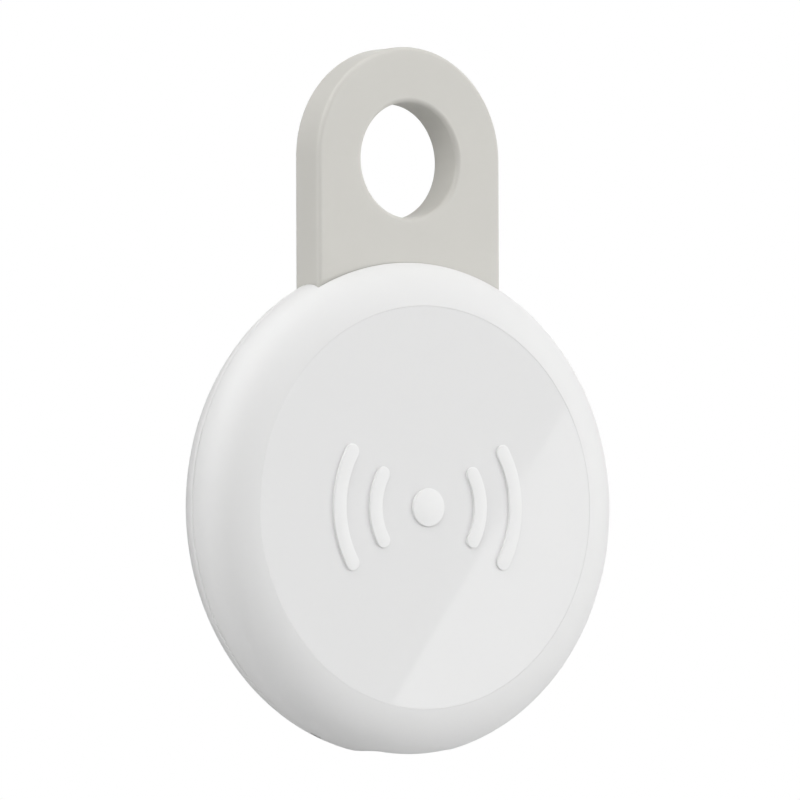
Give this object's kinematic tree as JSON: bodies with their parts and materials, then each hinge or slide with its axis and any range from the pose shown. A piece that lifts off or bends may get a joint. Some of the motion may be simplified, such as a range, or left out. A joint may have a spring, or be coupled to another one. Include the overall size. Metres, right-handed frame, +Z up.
{
  "type": "bluetooth tracker tag",
  "caption": "Round pebble-shaped tracker tag with a glossy press face, a charging port in its bottom edge and a soft loop with an eye for a key ring.",
  "frame": {"origin": "centre of the eye in the soft loop, on the mid-plane of its thickness", "axes": "+Z up as it hangs, from the puck to the eye; the glossy press face looks along -Y and the flat back along +Y; +X is to the right of a viewer who faces the press face"},
  "size_m": [0.039, 0.0084, 0.0554],
  "materials": {
    "shell_white": "fine moulded matt texture, off-white",
    "face_gloss": "polished off-white with a raised matt mark",
    "loop_silicone": "soft matt silicone, warm light grey",
    "seal_rubber": "matt moulded rubber",
    "vent_fabric": "fine woven acoustic membrane",
    "board_laminate": "green solder mask with gold pads",
    "chip_black": "moulded black package, laser-dull",
    "switch_cream": "moulded cream plastic",
    "sheet_steel": "drawn nickel-plated sheet",
    "capacitor_ceramic": "fired ceramic with tinned ends",
    "antenna_ceramic": "white ceramic",
    "coil_ferrite": "dark ferrite",
    "port_tongue_plastic": "black moulded plastic",
    "cell_seal_plastic": "blue moulded gasket",
    "cell_stack": "wound electrode layers",
    "foam_pad": "thin closed-cell foam with adhesive",
    "adhesive": "cured adhesive ring",
    "piezo_brass": "rolled brass sheet",
    "piezo_ceramic": "silvered ceramic"
  },
  "bodies": {
    "loop": {"loop_eye": "loop_silicone"},
    "puck": {"loop_neck": "loop_silicone", "front_shell": "shell_white", "back_shell": "shell_white", "shell_seal_left": "seal_rubber", "shell_seal_right": "seal_rubber", "vent_membrane": "vent_fabric", "switch_base": "chip_black", "main_board": "board_laminate", "radio_chip": "chip_black", "radio_crystal": "sheet_steel", "chip_antenna": "antenna_ceramic", "charge_chip": "chip_black", "sounder_driver": "chip_black", "boost_coil": "coil_ferrite", "capacitor_1": "capacitor_ceramic", "capacitor_2": "capacitor_ceramic", "capacitor_3": "capacitor_ceramic", "capacitor_4": "capacitor_ceramic", "usb_shell": "sheet_steel", "usb_tongue": "port_tongue_plastic", "usb_gasket": "seal_rubber", "battery_can": "sheet_steel", "battery_lid": "sheet_steel", "battery_seal": "cell_seal_plastic", "battery_cell_stack": "cell_stack", "battery_pad": "foam_pad", "battery_tab_negative": "sheet_steel", "battery_tab_positive": "sheet_steel", "piezo_adhesive": "adhesive", "piezo_plate": "piezo_brass", "piezo_ceramic": "piezo_ceramic", "piezo_lead_plate": "piezo_brass", "piezo_lead_ceramic": "piezo_brass"},
    "face": {"face_cap": "face_gloss", "face_seal": "seal_rubber"},
    "plunger": {"switch_plunger": "switch_cream"}
  },
  "joints": [
    {"name": "loop_flex", "type": "hinge", "parent": "loop", "child": "puck", "pos_m": [0, 0, -0.00655], "axis": [1, 0, 0], "range_deg": [-40, 40], "stiffness_Nm_per_rad": 0.05},
    {"name": "face_press", "type": "slide", "parent": "puck", "child": "face", "axis": [0, 1, 0], "range_m": [0, 0.0003], "stiffness_N_per_m": 3000},
    {"name": "plunger_travel", "type": "slide", "parent": "puck", "child": "plunger", "axis": [0, 1, 0], "range_m": [0, 0.0003]}
  ],
  "couplings": [
    {"joint": "plunger_travel", "follows": "face_press", "ratio": 1}
  ]
}
